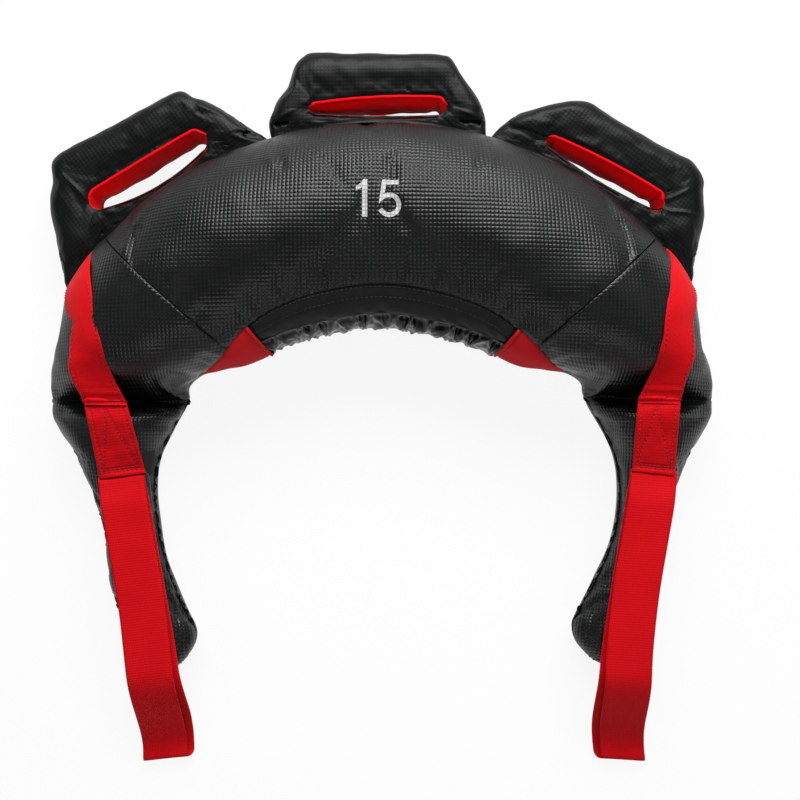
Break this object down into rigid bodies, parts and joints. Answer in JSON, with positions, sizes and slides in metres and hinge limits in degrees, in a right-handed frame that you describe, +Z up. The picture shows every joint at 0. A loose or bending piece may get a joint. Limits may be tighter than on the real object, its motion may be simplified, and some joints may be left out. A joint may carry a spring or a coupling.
{
  "type": "sandbag trainer",
  "caption": "Crescent sand-filled training bag with padded slotted handles along its outer edge and an arm with a webbing loop at each end",
  "frame": {"origin": "on the floor under the middle of the bag, which lies on its back", "axes": "+X to the right arm, +Y towards the middle handle, +Z up to the bag's front"},
  "size_m": [0.592, 0.6426, 0.122],
  "materials": {
    "black_vinyl": "satin black imitation leather, finely embossed",
    "black_nylon": "smooth black nylon",
    "red_cloth": "matt red cloth",
    "red_webbing": "red ribbed webbing",
    "sand_liner": "plain liner packed with sand",
    "foam": "pale foam and wadding"
  },
  "bodies": {
    "bag": {"front_panel_left": "black_vinyl", "front_panel_centre": "black_vinyl", "front_panel_right": "black_vinyl", "back_panel_left": "black_vinyl", "back_panel_centre": "black_vinyl", "back_panel_right": "black_vinyl", "sand_liner_left": "sand_liner", "sand_liner_centre": "sand_liner", "sand_liner_right": "sand_liner", "neck_collar": "black_nylon", "gathered_hem": "black_nylon", "gusset_left": "red_cloth", "gusset_right": "red_cloth", "side_strip_left": "red_cloth", "side_strip_right": "red_cloth", "handle_base_left": "black_vinyl", "handle_base_centre": "black_vinyl", "handle_base_right": "black_vinyl"},
    "handle_left": {"handle_cover_left": "black_vinyl", "handle_core_left": "foam", "slot_lining_left": "red_cloth"},
    "handle_centre": {"handle_cover_centre": "black_vinyl", "handle_core_centre": "foam", "slot_lining_centre": "red_cloth"},
    "handle_right": {"handle_cover_right": "black_vinyl", "handle_core_right": "foam", "slot_lining_right": "red_cloth"},
    "arm_left": {"arm_front_left": "black_vinyl", "arm_back_left": "black_vinyl", "arm_filling_left": "sand_liner", "webbing_tab_left": "red_webbing"},
    "arm_right": {"arm_front_right": "black_vinyl", "arm_back_right": "black_vinyl", "arm_filling_right": "sand_liner", "webbing_tab_right": "red_webbing"},
    "strap_left": {"webbing_loop_left": "red_webbing"},
    "strap_right": {"webbing_loop_right": "red_webbing"}
  },
  "joints": [
    {"name": "handle_left_fold", "type": "hinge", "parent": "bag", "child": "handle_left", "pos_m": [-0.19726, 0.19388, 0.04], "axis": [0.8131, 0.5821, 0], "range_deg": [-45, 80]},
    {"name": "handle_centre_fold", "type": "hinge", "parent": "bag", "child": "handle_centre", "pos_m": [-0.00307, 0.25735, 0.04], "axis": [0.9999, 0.0105, 0], "range_deg": [-45, 80]},
    {"name": "handle_right_fold", "type": "hinge", "parent": "bag", "child": "handle_right", "pos_m": [0.19581, 0.19559, 0.04], "axis": [0.8181, -0.575, 0], "range_deg": [-45, 80]},
    {"name": "arm_left_fold", "type": "hinge", "parent": "bag", "child": "arm_left", "pos_m": [-0.23427, -0.01462, 0.024], "axis": [-0.9998, 0.0181, 0], "range_deg": [-60, 30]},
    {"name": "arm_right_fold", "type": "hinge", "parent": "bag", "child": "arm_right", "pos_m": [0.23955, -0.01237, 0.024], "axis": [-0.9998, 0.0199, 0], "range_deg": [-60, 30]},
    {"name": "strap_left_swing", "type": "hinge", "parent": "arm_left", "child": "strap_left", "pos_m": [-0.22532, -0.05783, 0.05446], "axis": [-0.9945, -0.1045, 0], "range_deg": [0, 93]},
    {"name": "strap_right_swing", "type": "hinge", "parent": "arm_right", "child": "strap_right", "pos_m": [0.23728, -0.05333, 0.05607], "axis": [-0.9981, 0.0611, 0], "range_deg": [0, 93]}
  ]
}
